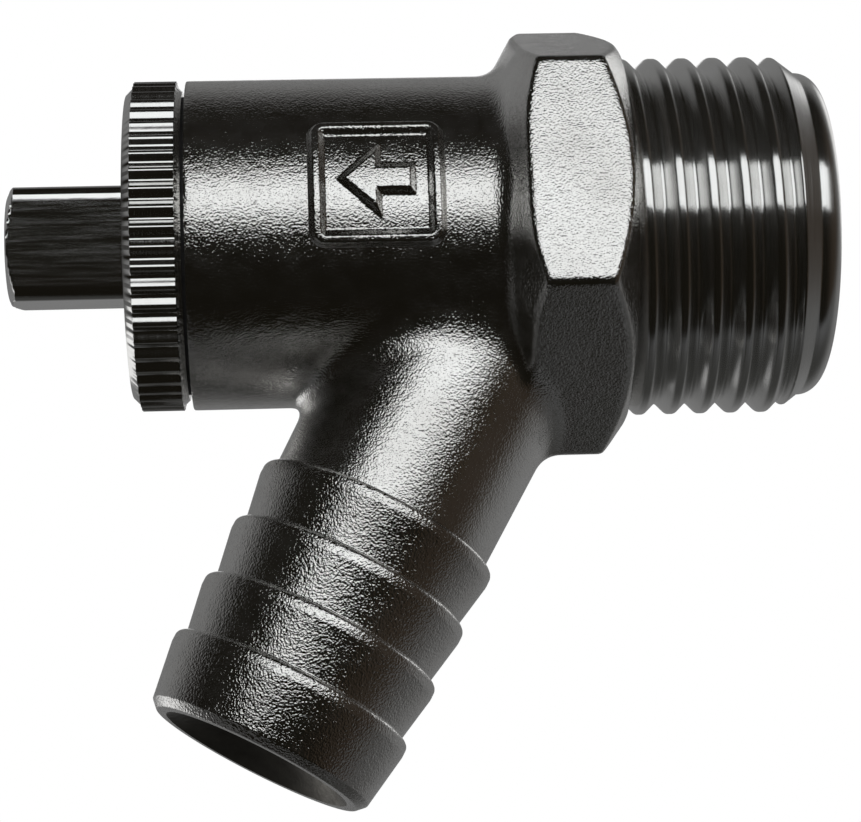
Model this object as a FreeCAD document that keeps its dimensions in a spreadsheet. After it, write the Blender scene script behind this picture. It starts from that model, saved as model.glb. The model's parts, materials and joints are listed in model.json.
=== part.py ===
import FreeCAD, Part
import Sketcher
import math
import os
import re

# Drain cock: a screw-down valve with a threaded inlet, a barbed hose tail and a square key end.
# Millimetres. The main axis is X, with the inlet at +X and the key end at -X. The origin is on that
# axis, in the plane of the hexagon's shoulder. The hose tail points down and back, in the XZ plane.

SIZES = [
    # Inlet spigot, with a half-inch parallel pipe thread
    ("thread_major_d", 20.955),
    ("thread_pitch", 1.814),
    ("thread_depth", 0.6),
    ("thread_flank_angle", 45.0),
    ("thread_root_flat", 0.19),
    ("thread_first_root", 1.15),
    ("thread_length", 9.6),
    ("thread_lead_length", 0.7),
    ("spigot_land_d", 19.4),
    ("spigot_land_length", 1.4),
    ("spigot_edge", 0.8),
    ("inlet_bore_d", 13.0),
    # Hexagon, with a turned chamfer at the shoulder and a cast slope down to the barrel
    ("hex_across_flats", 23.0),
    ("hex_length", 5.5),
    ("hex_corner_round", 0.6),
    ("hex_shoulder_land", 0.1),
    ("hex_chamfer_angle", 36.0),
    ("hex_slope_length", 2.0),
    # Barrel
    ("barrel_d", 19.25),
    ("barrel_length", 17.55),
    ("barrel_edge", 0.2),
    ("chamber_d", 13.8),
    # Raised panel on the barrel's side
    ("panel_offset", 14.2),
    ("panel_length", 7.4),
    ("panel_arc", 45.0),
    ("panel_height", 0.3),
    ("panel_rim", 0.8),
    # Valve seat, a raised lip round the seat bore
    ("seat_offset", 4.0),
    ("seat_wall", 2.0),
    ("seat_bore_d", 8.0),
    ("seat_lip_width", 1.0),
    ("seat_lip_height", 1.0),
    # Hose tail
    ("tail_offset", 5.6),
    ("tail_angle", 61.9),
    ("tail_start", 6.0),
    ("tail_root_d", 13.9),
    ("tail_neck_d", 13.2),
    ("tail_neck_length", 19.07),
    ("barb_count", 4),
    ("barb_pitch", 3.6),
    ("barb_d", 14.4),
    ("barb_foot_d", 13.35),
    ("barb_land", 0.7),
    ("barb_last_length", 4.43),
    ("tail_tip_d", 13.35),
    ("tail_tip_edge", 0.4),
    ("tail_bore_d", 7.2),
    ("tail_bore_start", 7.0),
    ("tail_mouth_d", 11.2),
    ("tail_mouth_depth", 1.2),
    ("tail_fillet", 0.8),
    # Bonnet, with a knurled flange outside the barrel and a screwed shank inside it
    ("flange_d", 19.25),
    ("flange_thickness", 3.25),
    ("flange_front_bevel", 0.6),
    ("flange_front_drop", 0.75),
    ("flange_back_bevel", 0.3),
    ("flange_back_drop", 0.6),
    ("knurl_count", 54),
    ("knurl_depth", 0.3),
    ("knurl_width", 0.95),
    ("shank_d", 14.6),
    ("shank_length", 7.2),
    ("shank_end_room", 0.4),
    ("bonnet_web", 0.6),
    ("gasket_thickness", 0.2),
    ("gasket_width", 1.35),
    # Seal round the stem, in a groove inside the flange
    ("seal_groove_d", 11.7),
    ("seal_groove_length", 1.9),
    ("seal_groove_offset", 1.15),
    # Spindle
    ("square_side", 6.6),
    ("square_corner_d", 8.2),
    ("square_length", 7.05),
    ("square_run_in", 0.4),
    ("square_turn", 77.0),
    ("square_edge", 0.4),
    ("stem_d", 8.4),
    ("screw_d", 10.6),
    ("screw_length", 7.4),
    ("spindle_nose_d", 8.8),
    ("spindle_lift", 3.0),
    ("lift_stop_room", 0.2),
    # Jumper, which carries the washer
    ("jumper_d", 11.4),
    ("jumper_thickness", 1.5),
    ("jumper_stem_d", 4.9),
    ("jumper_stem_length", 6.2),
    ("jumper_stud_d", 3.0),
    ("jumper_stud_reach", 0.4),
    ("jumper_socket_room", 0.4),
    ("jumper_edge", 0.3),
    # Split ring that keeps the jumper's stem in the spindle
    ("ring_offset", 2.8),
    ("ring_thickness", 0.7),
    ("ring_depth", 0.45),
    ("ring_stand", 0.45),
    ("ring_gap_angle", 40.0),
    ("ring_side_room", 0.1),
    # Washer and its nut
    ("washer_d", 11.6),
    ("washer_thickness", 2.4),
    ("nut_across_flats", 5.5),
    ("nut_height", 2.0),
    # Clearances
    ("running_clearance", 0.05),
    ("seat_clearance", 0.05),
    ("thrust_clearance", 0.1),
]
ALIASES = [alias for alias, value in SIZES]

# Places along the main axis, as formulas over the sizes above
HEX_BACK = "(-hex_length)"
SLOPE_FOOT = f"({HEX_BACK} - hex_slope_length)"
BARREL_END = f"({SLOPE_FOOT} - barrel_length)"
FLANGE_BACK = f"({BARREL_END} - gasket_thickness)"
FLANGE_FRONT = f"({FLANGE_BACK} - flange_thickness)"
SHANK_END = f"({FLANGE_BACK} + shank_length)"
BONNET_SHOULDER = f"({FLANGE_BACK} + bonnet_web)"
SEAL_FRONT = f"({FLANGE_FRONT} + seal_groove_offset)"
SEAL_BACK = f"({SEAL_FRONT} + seal_groove_length)"
SEAT_FACE = "(-seat_offset)"
SEAT_LIP = f"({SEAT_FACE} - seat_lip_height)"
INLET_END = f"({SEAT_FACE} + seat_wall)"
SPIGOT_LAND = "(thread_length + thread_lead_length)"
SPIGOT_END = f"({SPIGOT_LAND} + spigot_land_length)"
WASHER_FACE = f"({SEAT_LIP} - seat_clearance)"
WASHER_BACK = f"({WASHER_FACE} - washer_thickness)"
NUT_END = f"({WASHER_FACE} + nut_height)"
STUD_END = f"({NUT_END} + jumper_stud_reach)"
JUMPER_BACK = f"({WASHER_BACK} - jumper_thickness)"
JUMPER_TIP = f"({JUMPER_BACK} - jumper_stem_length)"
RING_FRONT = f"({JUMPER_BACK} - ring_offset)"
RING_BACK = f"({RING_FRONT} - ring_thickness)"
SPINDLE_END = f"({JUMPER_BACK} - thrust_clearance)"
SOCKET_END = f"({JUMPER_TIP} - jumper_socket_room)"
SCREW_FRONT = f"({BONNET_SHOULDER} + spindle_lift + lift_stop_room)"
SCREW_BACK = f"({SCREW_FRONT} + screw_length)"
SQUARE_END = f"({FLANGE_FRONT} - square_length)"
SQUARE_ROOT = f"({FLANGE_FRONT} + square_run_in)"

# Radii
THREAD_RADIUS = "(thread_major_d / 2)"
SPIGOT_LAND_RADIUS = "(spigot_land_d / 2)"
BARREL_RADIUS = "(barrel_d / 2)"
HEX_CORNER_RADIUS = "(hex_across_flats / sqrt(3))"
STEM_HOLE_RADIUS = "(stem_d / 2 + running_clearance)"
SHANK_RADIUS = "(shank_d / 2)"
SHANK_BORE_RADIUS = f"({SHANK_RADIUS} + running_clearance)"
SOCKET_RADIUS = "(jumper_stem_d / 2 + running_clearance)"

# How far a cut runs past the face it opens
OVERRUN = "1"
ZERO = "0"

# How near two radii are when they count as the same, and the least lean of the hose tail's axis
SAME_RADIUS = 1e-6
LEANING = 0.1


def bound(text):
    """Gives a formula with each size's name turned into its cell in the sheet."""

    def cell(word):
        return "Sizes." + word[0] if word[0] in ALIASES else word[0]

    return re.sub(r"[a-z_]+", cell, text)


def make_sheet(document):
    sheet = document.addObject("Spreadsheet::Sheet", "Sizes")
    for row, (alias, value) in enumerate(SIZES, start=1):
        sheet.set(f"A{row}", alias.replace("_", " "))
        sheet.set(f"B{row}", str(value))
        sheet.setAlias(f"B{row}", alias)
    document.recompute()
    return sheet


doc = FreeCAD.newDocument("drain_cock")
sizes = make_sheet(doc)


def value_of(text):
    return float(sizes.evalExpression(bound(text)))


def new_body(label):
    body = doc.addObject("PartDesign::Body", label)
    body.Label = label
    return body


def origin_feature(body, role):
    return next(feature for feature in body.Origin.OriginFeatures if feature.Role == role)


def new_sketch(body, name, role, shift=(ZERO, ZERO, ZERO), turn=ZERO):
    """A sketch on an origin plane, shifted and turned in that plane's own axes."""
    sketch = body.newObject("Sketcher::SketchObject", name)
    sketch.AttachmentSupport = [(origin_feature(body, role), "")]
    sketch.MapMode = "FlatFace"
    sketch.AttachmentOffset = FreeCAD.Placement(
        FreeCAD.Vector(*[value_of(text) for text in shift]),
        FreeCAD.Rotation(FreeCAD.Vector(0, 0, 1), value_of(turn)),
    )
    for axis, text in zip("xyz", shift):
        if text != ZERO:
            sketch.setExpression(f"AttachmentOffset.Base.{axis}", bound(text))
    if turn != ZERO:
        sketch.setExpression("AttachmentOffset.Rotation.Angle", bound(turn))
    return sketch


def tie(sketch, kind, geometry, point, text, name):
    """Holds one coordinate of a sketch point at a formula's value."""
    if text == ZERO:
        axis = -2 if kind == "DistanceX" else -1
        sketch.addConstraint(Sketcher.Constraint("PointOnObject", geometry, point, axis))
        return
    index = sketch.addConstraint(Sketcher.Constraint(kind, -1, 1, geometry, point, value_of(text)))
    sketch.renameConstraint(index, name)
    sketch.setExpression(f"Constraints.{name}", bound(text))


def draw_outline(sketch, points):
    """A closed outline of straight lines, each corner tied to its two formulas."""
    corners = [FreeCAD.Vector(value_of(x), value_of(y), 0) for x, y in points]
    first = sketch.GeometryCount
    count = len(points)
    for index in range(count):
        sketch.addGeometry(Part.LineSegment(corners[index], corners[(index + 1) % count]), False)
    for index in range(count):
        following = first + (index + 1) % count
        sketch.addConstraint(Sketcher.Constraint("Coincident", first + index, 2, following, 1))
    for index, (x, y) in enumerate(points):
        tie(sketch, "DistanceX", first + index, 1, x, f"along_{first + index}")
        tie(sketch, "DistanceY", first + index, 1, y, f"out_{first + index}")


def draw_circle(sketch, radius):
    circle = Part.Circle(FreeCAD.Vector(0, 0, 0), FreeCAD.Vector(0, 0, 1), value_of(radius))
    geometry = sketch.addGeometry(circle, False)
    sketch.addConstraint(Sketcher.Constraint("Coincident", geometry, 3, -1, 1))
    index = sketch.addConstraint(Sketcher.Constraint("Radius", geometry, value_of(radius)))
    name = f"radius_{geometry}"
    sketch.renameConstraint(index, name)
    sketch.setExpression(f"Constraints.{name}", bound(radius))


def hexagon(corner_radius):
    """Corners of a hexagon with two corners on the sketch's vertical axis."""
    half = f"({corner_radius} / 2)"
    wide = f"({corner_radius} * sqrt(3) / 2)"
    return [
        (ZERO, corner_radius),
        (f"-{wide}", half),
        (f"-{wide}", f"-{half}"),
        (ZERO, f"-{corner_radius}"),
        (wide, f"-{half}"),
        (wide, half),
    ]


def draw_rounded_hexagon(sketch, corner_radius, rounding):
    """A hexagon with two corners on the vertical axis, each corner an arc."""
    step = math.radians(60)
    middle = f"({corner_radius} - {rounding} / sin(60))"
    tangent = f"({corner_radius} - {rounding} / tan(60) / 2)"
    sideways = f"({rounding} / 2)"
    ends = []
    for index in range(6):
        angle = index * 60 + 90
        for side in (-1, 1):
            along = f"({tangent} * cos({angle}) - {side} * {sideways} * sin({angle}))"
            across = f"({tangent} * sin({angle}) + {side} * {sideways} * cos({angle}))"
            ends.append((along, across))
    spots = [FreeCAD.Vector(value_of(x), value_of(y), 0) for x, y in ends]
    for index in range(6):
        angle = math.radians(90) + index * step
        centre = FreeCAD.Vector(math.cos(angle), math.sin(angle), 0) * value_of(middle)
        circle = Part.Circle(centre, FreeCAD.Vector(0, 0, 1), value_of(rounding))
        arc = Part.ArcOfCircle(circle, angle - step / 2, angle + step / 2)
        sketch.addGeometry(arc, False)
        sketch.addGeometry(Part.LineSegment(spots[2 * index + 1], spots[(2 * index + 2) % 12]), False)
    for index in range(6):
        arc = 2 * index
        line = arc + 1
        following = (arc + 2) % 12
        sketch.addConstraint(Sketcher.Constraint("Coincident", arc, 2, line, 1))
        sketch.addConstraint(Sketcher.Constraint("Coincident", line, 2, following, 1))
        tie(sketch, "DistanceX", line, 1, ends[2 * index + 1][0], f"along_{line}")
        tie(sketch, "DistanceY", line, 1, ends[2 * index + 1][1], f"out_{line}")
        tie(sketch, "DistanceX", arc, 1, ends[2 * index][0], f"along_{arc}")
        tie(sketch, "DistanceY", arc, 1, ends[2 * index][1], f"out_{arc}")
        radius = sketch.addConstraint(Sketcher.Constraint("Radius", arc, value_of(rounding)))
        sketch.renameConstraint(radius, f"round_{arc}")
        sketch.setExpression(f"Constraints.round_{arc}", bound(rounding))


def turned(
    body, kind, name, points,
    role="XZ_Plane", angle="360", centred=False, shift=(ZERO, ZERO, ZERO), turn=ZERO,
):
    """A turned solid or cut: an outline of (along, out) points, swept about the sketch's long axis."""
    sketch = new_sketch(body, name + "_outline", role, shift, turn)
    draw_outline(sketch, points)
    feature = body.newObject("PartDesign::" + kind, name)
    feature.Profile = sketch
    feature.ReferenceAxis = (sketch, ["H_Axis"])
    feature.Midplane = centred
    feature.Angle = value_of(angle)
    if angle != "360":
        feature.setExpression("Angle", bound(angle))
    doc.recompute()
    return feature


def straight(body, kind, name, sketch, length, backwards=False):
    """A pad or pocket of a sketch, along its normal or against it."""
    feature = body.newObject("PartDesign::" + kind, name)
    feature.Profile = sketch
    feature.Length = value_of(length)
    feature.setExpression("Length", bound(length))
    feature.Reversed = backwards
    doc.recompute()
    return feature


def round_pattern(body, name, original, count):
    pattern = body.newObject("PartDesign::PolarPattern", name)
    pattern.Originals = [original]
    pattern.Axis = (origin_feature(body, "X_Axis"), [""])
    pattern.Angle = 360
    pattern.Occurrences = int(value_of(count))
    if count in ALIASES:
        pattern.setExpression("Occurrences", bound(count))
    body.Tip = pattern
    doc.recompute()
    return pattern


def add_outer_casting(body):
    """Barrel and inlet spigot, hexagon and hose tail, all solid."""
    middle_of_hex = f"({HEX_BACK} / 2)"
    turned(body, "Revolution", "Barrel", [
        (BARREL_END, ZERO),
        (BARREL_END, f"{BARREL_RADIUS} - barrel_edge"),
        (f"{BARREL_END} + barrel_edge", BARREL_RADIUS),
        (middle_of_hex, BARREL_RADIUS),
        (middle_of_hex, THREAD_RADIUS),
        ("thread_length", THREAD_RADIUS),
        (SPIGOT_LAND, SPIGOT_LAND_RADIUS),
        (f"{SPIGOT_END} - spigot_edge", SPIGOT_LAND_RADIUS),
        (SPIGOT_END, f"{SPIGOT_LAND_RADIUS} - spigot_edge"),
        (SPIGOT_END, ZERO),
    ])
    sketch = new_sketch(body, "Hexagon_outline", "YZ_Plane")
    draw_rounded_hexagon(sketch, HEX_CORNER_RADIUS, "hex_corner_round")
    straight(body, "Pad", "Hexagon", sketch, "hex_length", backwards=True)
    top = new_sketch(body, "Slope_top", "YZ_Plane", shift=(ZERO, ZERO, HEX_BACK))
    draw_rounded_hexagon(top, HEX_CORNER_RADIUS, "hex_corner_round")
    foot = new_sketch(body, "Slope_foot", "YZ_Plane", shift=(ZERO, ZERO, SLOPE_FOOT))
    draw_rounded_hexagon(foot, BARREL_RADIUS, "hex_corner_round")
    slope = body.newObject("PartDesign::AdditiveLoft", "Hexagon_slope")
    slope.Profile = top
    slope.Sections = [foot]
    slope.Ruled = True
    doc.recompute()
    add_hexagon_chamfer(body)
    add_tail(body)


def add_hexagon_chamfer(body):
    face_radius = f"({THREAD_RADIUS} + hex_shoulder_land)"
    outer_radius = f"({HEX_CORNER_RADIUS} + {OVERRUN})"
    depth = f"(({outer_radius} - {face_radius}) * tan(hex_chamfer_angle))"
    turned(body, "Groove", "Hexagon_chamfer", [
        (ZERO, face_radius),
        (f"-{depth}", outer_radius),
        (OVERRUN, outer_radius),
        (OVERRUN, face_radius),
    ])


def add_tail(body):
    """Hose tail: a tapering neck, then barbs with a short land and a taper towards the tip."""
    barbs = int(value_of("barb_count"))
    points = [
        ("-tail_start", ZERO),
        ("-tail_start", "tail_root_d / 2"),
        ("-tail_neck_length", "tail_neck_d / 2"),
    ]
    for barb in range(barbs):
        ridge = f"(-tail_neck_length - {barb} * barb_pitch)"
        points.append((ridge, "barb_d / 2"))
        points.append((f"{ridge} - barb_land", "barb_d / 2"))
        if barb < barbs - 1:
            points.append((f"{ridge} - barb_pitch", "barb_foot_d / 2"))
    points.append((f"{ridge} - barb_last_length + tail_tip_edge", "tail_tip_d / 2"))
    points.append((f"{ridge} - barb_last_length", "tail_tip_d / 2 - tail_tip_edge"))
    points.append((f"{ridge} - barb_last_length", ZERO))
    tail = turned(
        body, "Revolution", "Hose_tail", points, shift=("-tail_offset", ZERO, ZERO), turn="tail_angle"
    )
    fillet = body.newObject("PartDesign::Fillet", "Tail_fillet")
    fillet.Base = (tail, corner_edges(tail.Shape))
    fillet.Radius = value_of("tail_fillet")
    fillet.setExpression("Radius", bound("tail_fillet"))
    doc.recompute()


def corner_edges(shape):
    """Names of the edges in the corner between the barrel's cylinder and the tail's conical neck."""
    names = []
    for index, edge in enumerate(shape.Edges, start=1):
        surfaces = [face.Surface for face in shape.ancestorsOfType(edge, Part.Face)]
        on_barrel = any(
            isinstance(surface, Part.Cylinder)
            and abs(surface.Radius - value_of(BARREL_RADIUS)) < SAME_RADIUS
            for surface in surfaces
        )
        on_neck = any(
            isinstance(surface, Part.Cone) and abs(surface.Axis.z) > LEANING
            for surface in surfaces
        )
        if on_barrel and on_neck:
            names.append(f"Edge{index}")
    return names


def add_panel(body):
    """Raised panel with a rim, centred on the side that faces -Y."""
    left = "(-panel_offset - panel_length / 2)"
    right = "(-panel_offset + panel_length / 2)"
    outer = f"({BARREL_RADIUS} + panel_height)"
    inner = f"({BARREL_RADIUS} - panel_height)"
    turned(body, "Revolution", "Panel", [
        (left, f"-{inner}"),
        (right, f"-{inner}"),
        (right, f"-{outer}"),
        (left, f"-{outer}"),
    ], role="XY_Plane", angle="panel_arc", centred=True)
    rim_angle = f"(2 * panel_rim / {BARREL_RADIUS} * 180 / pi)"
    field = f"({BARREL_RADIUS} + panel_height / 4)"
    beyond = f"({outer} + {OVERRUN})"
    turned(body, "Groove", "Panel_field", [
        (f"{left} + panel_rim", f"-{field}"),
        (f"{right} - panel_rim", f"-{field}"),
        (f"{right} - panel_rim", f"-{beyond}"),
        (f"{left} + panel_rim", f"-{beyond}"),
    ], role="XY_Plane", angle=f"panel_arc - {rim_angle}", centred=True)


def add_waterways(body):
    """Bonnet bore, chamber, seat and inlet bore in one turned cut, then the tail's bore and its mouth."""
    bonnet_bore_end = f"({SHANK_END} + shank_end_room)"
    lip_radius = "(seat_bore_d / 2 + seat_lip_width)"
    turned(body, "Groove", "Waterway", [
        (f"{BARREL_END} - {OVERRUN}", ZERO),
        (f"{BARREL_END} - {OVERRUN}", SHANK_BORE_RADIUS),
        (bonnet_bore_end, SHANK_BORE_RADIUS),
        (bonnet_bore_end, "chamber_d / 2"),
        (SEAT_FACE, "chamber_d / 2"),
        (SEAT_FACE, lip_radius),
        (SEAT_LIP, lip_radius),
        (SEAT_LIP, "seat_bore_d / 2"),
        (INLET_END, "seat_bore_d / 2"),
        (INLET_END, "inlet_bore_d / 2"),
        (f"{SPIGOT_END} + {OVERRUN}", "inlet_bore_d / 2"),
        (f"{SPIGOT_END} + {OVERRUN}", ZERO),
    ])
    tail_end = "(-tail_neck_length - (barb_count - 1) * barb_pitch - barb_last_length)"
    turned(body, "Groove", "Tail_bore", [
        ("-tail_bore_start", ZERO),
        ("-tail_bore_start", "tail_bore_d / 2"),
        (f"{tail_end} + tail_mouth_depth", "tail_bore_d / 2"),
        (tail_end, "tail_mouth_d / 2"),
        (f"{tail_end} - {OVERRUN}", "tail_mouth_d / 2"),
        (f"{tail_end} - {OVERRUN}", ZERO),
    ], shift=("-tail_offset", ZERO, ZERO), turn="tail_angle")


def add_thread(body):
    """Ring grooves with the pitch, depth and flanks of the inlet thread."""
    root = f"({THREAD_RADIUS} - thread_depth)"
    beyond = f"({THREAD_RADIUS} + {OVERRUN})"
    half_root = "(thread_root_flat / 2)"
    half_mouth = f"({half_root} + (thread_depth + {OVERRUN}) * tan(thread_flank_angle))"
    groove = turned(body, "Groove", "Thread_groove", [
        (f"thread_first_root - {half_root}", root),
        (f"thread_first_root + {half_root}", root),
        (f"thread_first_root + {half_mouth}", beyond),
        (f"thread_first_root - {half_mouth}", beyond),
    ])
    spaces = "floor((thread_length - thread_first_root) / thread_pitch)"
    pattern = body.newObject("PartDesign::LinearPattern", "Thread")
    pattern.Originals = [groove]
    pattern.Direction = (origin_feature(body, "X_Axis"), [""])
    pattern.Length = value_of(f"{spaces} * thread_pitch")
    pattern.setExpression("Length", bound(f"{spaces} * thread_pitch"))
    pattern.Occurrences = int(value_of(f"{spaces} + 1"))
    pattern.setExpression("Occurrences", bound(f"{spaces} + 1"))
    body.Tip = pattern
    doc.recompute()


def make_valve_body():
    body = new_body("valve_body")
    add_outer_casting(body)
    add_panel(body)
    add_waterways(body)
    add_thread(body)
    return body


def make_bonnet():
    body = new_body("bonnet")
    flange_radius = "(flange_d / 2)"
    screw_bore_radius = "(screw_d / 2 + running_clearance)"
    turned(body, "Revolution", "Bonnet_turning", [
        (FLANGE_FRONT, STEM_HOLE_RADIUS),
        (FLANGE_FRONT, f"{flange_radius} - flange_front_drop"),
        (f"{FLANGE_FRONT} + flange_front_bevel", flange_radius),
        (f"{FLANGE_BACK} - flange_back_bevel", flange_radius),
        (FLANGE_BACK, f"{flange_radius} - flange_back_drop"),
        (FLANGE_BACK, SHANK_RADIUS),
        (SHANK_END, SHANK_RADIUS),
        (SHANK_END, screw_bore_radius),
        (BONNET_SHOULDER, screw_bore_radius),
        (BONNET_SHOULDER, STEM_HOLE_RADIUS),
        (SEAL_BACK, STEM_HOLE_RADIUS),
        (SEAL_BACK, "seal_groove_d / 2"),
        (SEAL_FRONT, "seal_groove_d / 2"),
        (SEAL_FRONT, STEM_HOLE_RADIUS),
    ])
    # One groove of the knurl, cut along the flange's rim and repeated round it
    start = f"{FLANGE_FRONT} - {OVERRUN}"
    rim = new_sketch(body, "Knurl_outline", "YZ_Plane", shift=(ZERO, ZERO, start))
    widening = f"((knurl_depth + {OVERRUN}) * knurl_width / knurl_depth / 2)"
    draw_outline(rim, [
        (ZERO, f"{flange_radius} - knurl_depth"),
        (widening, f"{flange_radius} + {OVERRUN}"),
        (f"-{widening}", f"{flange_radius} + {OVERRUN}"),
    ])
    length = f"flange_thickness + 2 * {OVERRUN}"
    groove = straight(body, "Pocket", "Knurl_groove", rim, length, backwards=True)
    round_pattern(body, "Knurl", groove, "knurl_count")
    return body


def make_ring(label, front, back, inner, outer):
    """A flat ring between two places on the main axis."""
    body = new_body(label)
    turned(body, "Revolution", label + "_turning", [
        (front, inner),
        (back, inner),
        (back, outer),
        (front, outer),
    ])
    return body


def make_spindle_o_ring():
    ring = doc.addObject("Part::Torus", "spindle_o_ring")
    ring.Label = "spindle_o_ring"
    thickness = "(seal_groove_d / 2 - stem_d / 2 - 2 * running_clearance)"
    middle = f"({SEAL_FRONT} + seal_groove_length / 2)"
    ring.setExpression("Radius2", bound(f"{thickness} / 2"))
    ring.setExpression("Radius1", bound(f"stem_d / 2 + running_clearance + {thickness} / 2"))
    ring.Placement = FreeCAD.Placement(
        FreeCAD.Vector(value_of(middle), 0, 0), FreeCAD.Rotation(FreeCAD.Vector(0, 1, 0), 90)
    )
    ring.setExpression("Placement.Base.x", bound(middle))
    doc.recompute()
    return ring


def make_spindle():
    """Turned spindle with a milled square, and a socket in its end for the jumper's stem."""
    body = new_body("spindle")
    corner_radius = "(square_corner_d / 2)"
    ring_room = f"({SOCKET_RADIUS} + ring_stand + running_clearance)"
    turned(body, "Revolution", "Spindle_turning", [
        (SQUARE_END, ZERO),
        (SQUARE_END, f"{corner_radius} - square_edge"),
        (f"{SQUARE_END} + square_edge", corner_radius),
        (SQUARE_ROOT, corner_radius),
        (SQUARE_ROOT, "stem_d / 2"),
        (SCREW_FRONT, "stem_d / 2"),
        (SCREW_FRONT, "screw_d / 2"),
        (SCREW_BACK, "screw_d / 2"),
        (SCREW_BACK, "spindle_nose_d / 2"),
        (SPINDLE_END, "spindle_nose_d / 2"),
        (SPINDLE_END, SOCKET_RADIUS),
        (f"{RING_FRONT} + ring_side_room", SOCKET_RADIUS),
        (f"{RING_FRONT} + ring_side_room", ring_room),
        (f"{RING_BACK} - ring_side_room", ring_room),
        (f"{RING_BACK} - ring_side_room", SOCKET_RADIUS),
        (SOCKET_END, SOCKET_RADIUS),
        (SOCKET_END, ZERO),
    ])
    # One flat of the square, milled off and repeated four times
    flat = new_sketch(
        body, "Flat_outline", "YZ_Plane",
        shift=(ZERO, ZERO, f"{SQUARE_END} - {OVERRUN}"), turn="90 - square_turn",
    )
    beyond = f"({corner_radius} + {OVERRUN})"
    draw_outline(flat, [
        ("square_side / 2", f"-{beyond}"),
        (beyond, f"-{beyond}"),
        (beyond, beyond),
        ("square_side / 2", beyond),
    ])
    length = f"{SQUARE_ROOT} - {SQUARE_END} + {OVERRUN}"
    milled = straight(body, "Pocket", "Flat", flat, length, backwards=True)
    round_pattern(body, "Square", milled, "4")
    return body


def make_jumper():
    """Jumper plate with a stem into the spindle and a stud through the washer."""
    body = new_body("jumper")
    stem_radius = "(jumper_stem_d / 2)"
    groove_radius = f"({stem_radius} - ring_depth)"
    turned(body, "Revolution", "Jumper_turning", [
        (JUMPER_TIP, ZERO),
        (JUMPER_TIP, f"{stem_radius} - jumper_edge"),
        (f"{JUMPER_TIP} + jumper_edge", stem_radius),
        (f"{RING_BACK} - ring_side_room", stem_radius),
        (f"{RING_BACK} - ring_side_room", groove_radius),
        (f"{RING_FRONT} + ring_side_room", groove_radius),
        (f"{RING_FRONT} + ring_side_room", stem_radius),
        (JUMPER_BACK, stem_radius),
        (JUMPER_BACK, "jumper_d / 2 - jumper_edge"),
        (f"{JUMPER_BACK} + jumper_edge", "jumper_d / 2"),
        (WASHER_BACK, "jumper_d / 2"),
        (WASHER_BACK, "jumper_stud_d / 2"),
        (STUD_END, "jumper_stud_d / 2"),
        (STUD_END, ZERO),
    ])
    return body


def make_jumper_ring():
    body = new_body("jumper_ring")
    inner = "(jumper_stem_d / 2 - ring_depth + running_clearance)"
    outer = f"({SOCKET_RADIUS} + ring_stand - running_clearance)"
    turned(body, "Revolution", "Split_ring", [
        (RING_BACK, inner),
        (RING_FRONT, inner),
        (RING_FRONT, outer),
        (RING_BACK, outer),
    ], angle="360 - ring_gap_angle", centred=True)
    return body


def make_washer_nut():
    body = new_body("washer_nut")
    sketch = new_sketch(body, "Nut_outline", "YZ_Plane", shift=(ZERO, ZERO, WASHER_FACE))
    draw_outline(sketch, hexagon("(nut_across_flats / sqrt(3))"))
    draw_circle(sketch, "jumper_stud_d / 2 + running_clearance")
    straight(body, "Pad", "Nut", sketch, "nut_height")
    return body


def check_document():
    """Stops on a failed object anywhere in the document."""
    doc.recompute()
    for item in doc.Objects:
        if {"Invalid", "Error"} & set(item.State):
            raise RuntimeError(f"{item.Label} failed: {item.State}")


def write_parts(pieces):
    for piece in pieces:
        shape = piece.Shape
        if shape.isNull() or not shape.isValid():
            raise RuntimeError(f"{piece.Label} has no valid shape")
        if len(shape.Solids) != 1:
            raise RuntimeError(f"{piece.Label} has {len(shape.Solids)} solids")
    os.makedirs("parts", exist_ok=True)
    for piece in pieces:
        piece.Shape.exportStep(f"parts/{piece.Label}.step")
        box = piece.Shape.BoundBox
        print(f"{piece.Label}: {piece.Shape.Volume:.1f} mm3, x {box.XMin:.2f} to {box.XMax:.2f},"
              f" z {box.ZMin:.2f} to {box.ZMax:.2f}")


gasket_inner = SHANK_BORE_RADIUS
stud_hole = "(jumper_stud_d / 2 + running_clearance)"
pieces = [
    make_valve_body(),
    make_bonnet(),
    make_ring("bonnet_gasket", FLANGE_BACK, BARREL_END, gasket_inner, f"{gasket_inner} + gasket_width"),
    make_spindle_o_ring(),
    make_spindle(),
    make_jumper(),
    make_jumper_ring(),
    make_ring("seat_washer", WASHER_BACK, WASHER_FACE, stud_hole, "washer_d / 2"),
    make_washer_nut(),
]
check_document()
write_parts(pieces)
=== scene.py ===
import json
import math

import bpy
import numpy as np
from mathutils import Matrix, Vector


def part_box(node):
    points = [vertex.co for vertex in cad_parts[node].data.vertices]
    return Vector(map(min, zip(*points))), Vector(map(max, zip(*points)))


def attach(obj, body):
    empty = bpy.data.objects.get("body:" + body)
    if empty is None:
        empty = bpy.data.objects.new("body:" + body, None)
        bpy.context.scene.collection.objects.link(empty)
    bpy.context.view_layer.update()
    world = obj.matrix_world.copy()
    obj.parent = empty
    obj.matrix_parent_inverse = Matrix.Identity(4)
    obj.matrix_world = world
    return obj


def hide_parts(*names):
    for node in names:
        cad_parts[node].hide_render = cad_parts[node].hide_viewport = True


# Drain cock, dressed in plated brass. Shapes are worked out in millimetres in the frame's own axes,
# with the inlet at +X and the key end at -X, and become metres when a mesh is made.

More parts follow.
